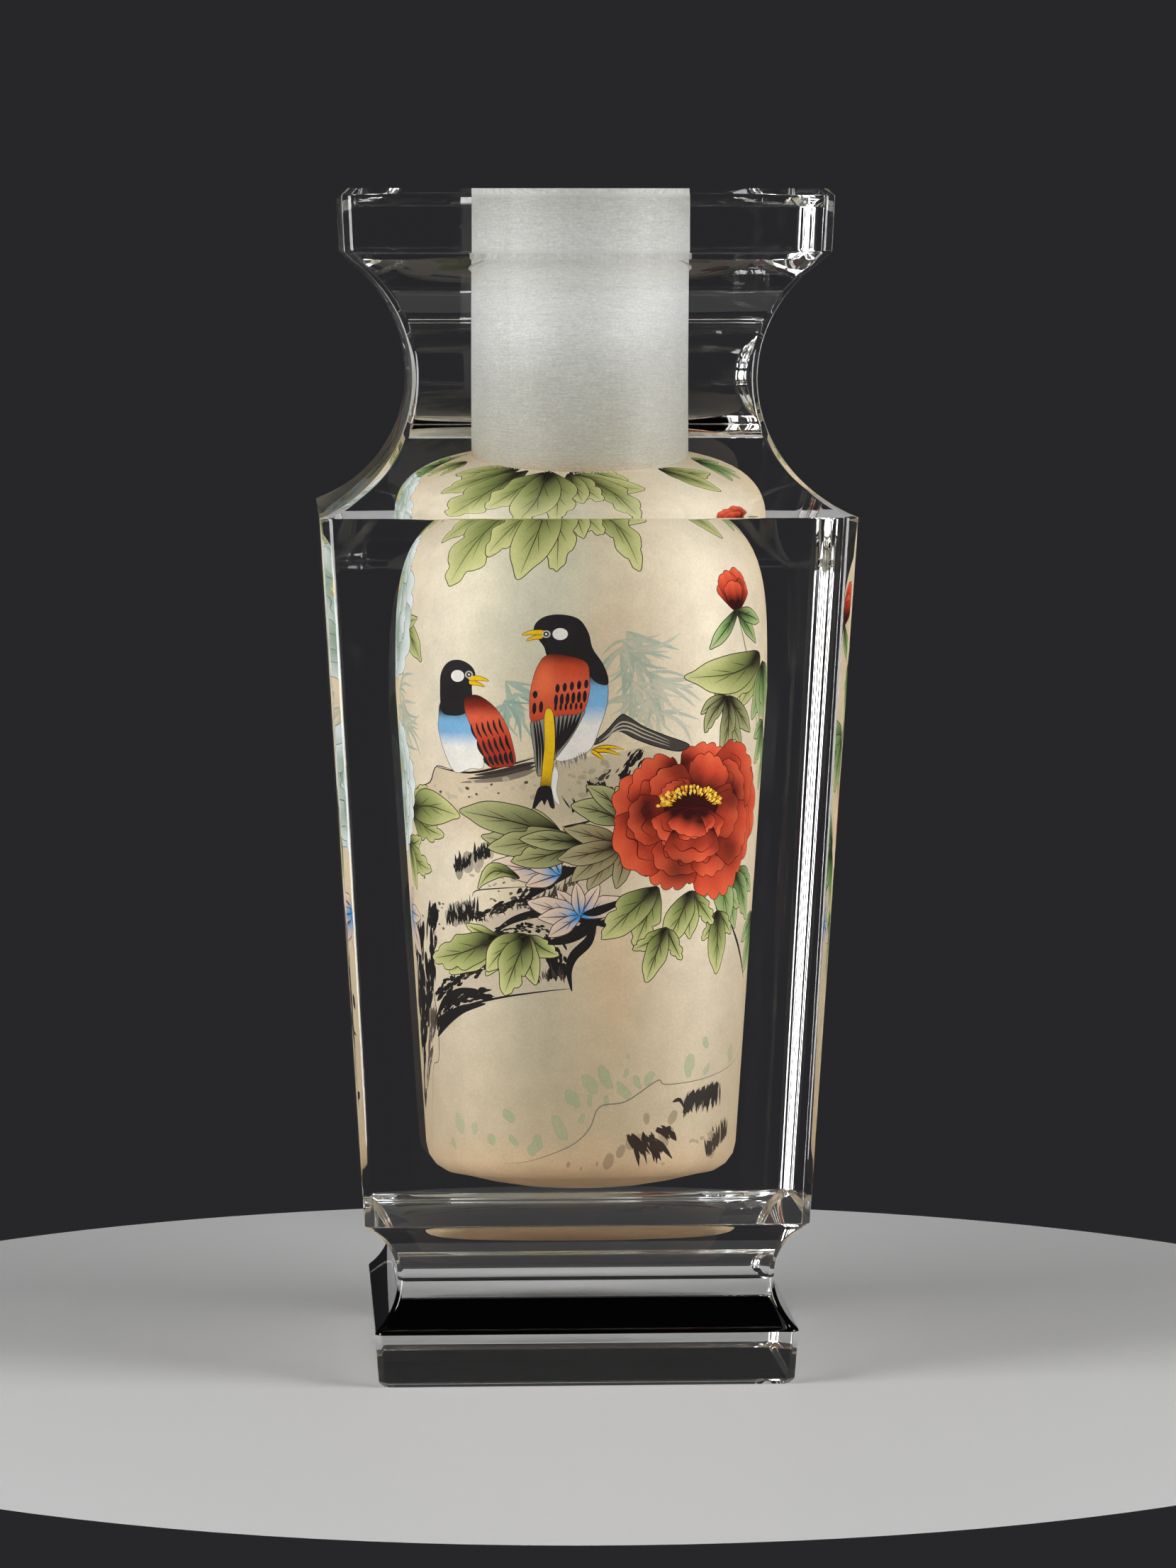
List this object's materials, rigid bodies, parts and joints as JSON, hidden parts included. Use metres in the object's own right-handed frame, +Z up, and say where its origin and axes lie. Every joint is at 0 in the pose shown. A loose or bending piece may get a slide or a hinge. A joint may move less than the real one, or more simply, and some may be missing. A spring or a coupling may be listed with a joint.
{
  "type": "interior painted glass vase",
  "caption": "Square clear glass vase with a waisted neck and slab foot, hollowed by a round bore and a rounded chamber whose wall is painted.",
  "frame": {"origin": "centre of the underside, on the surface that the vase stands on", "axes": "+Z up along the vase and its bore, +X to the right of the painted front, which faces -Y"},
  "size_m": [0.111, 0.111, 0.25],
  "materials": {
    "glass": "polished clear glass outside, frosted in the bore, painted on the chamber wall"
  },
  "bodies": {
    "root": {"glass_vase": "glass"}
  },
  "joints": []
}
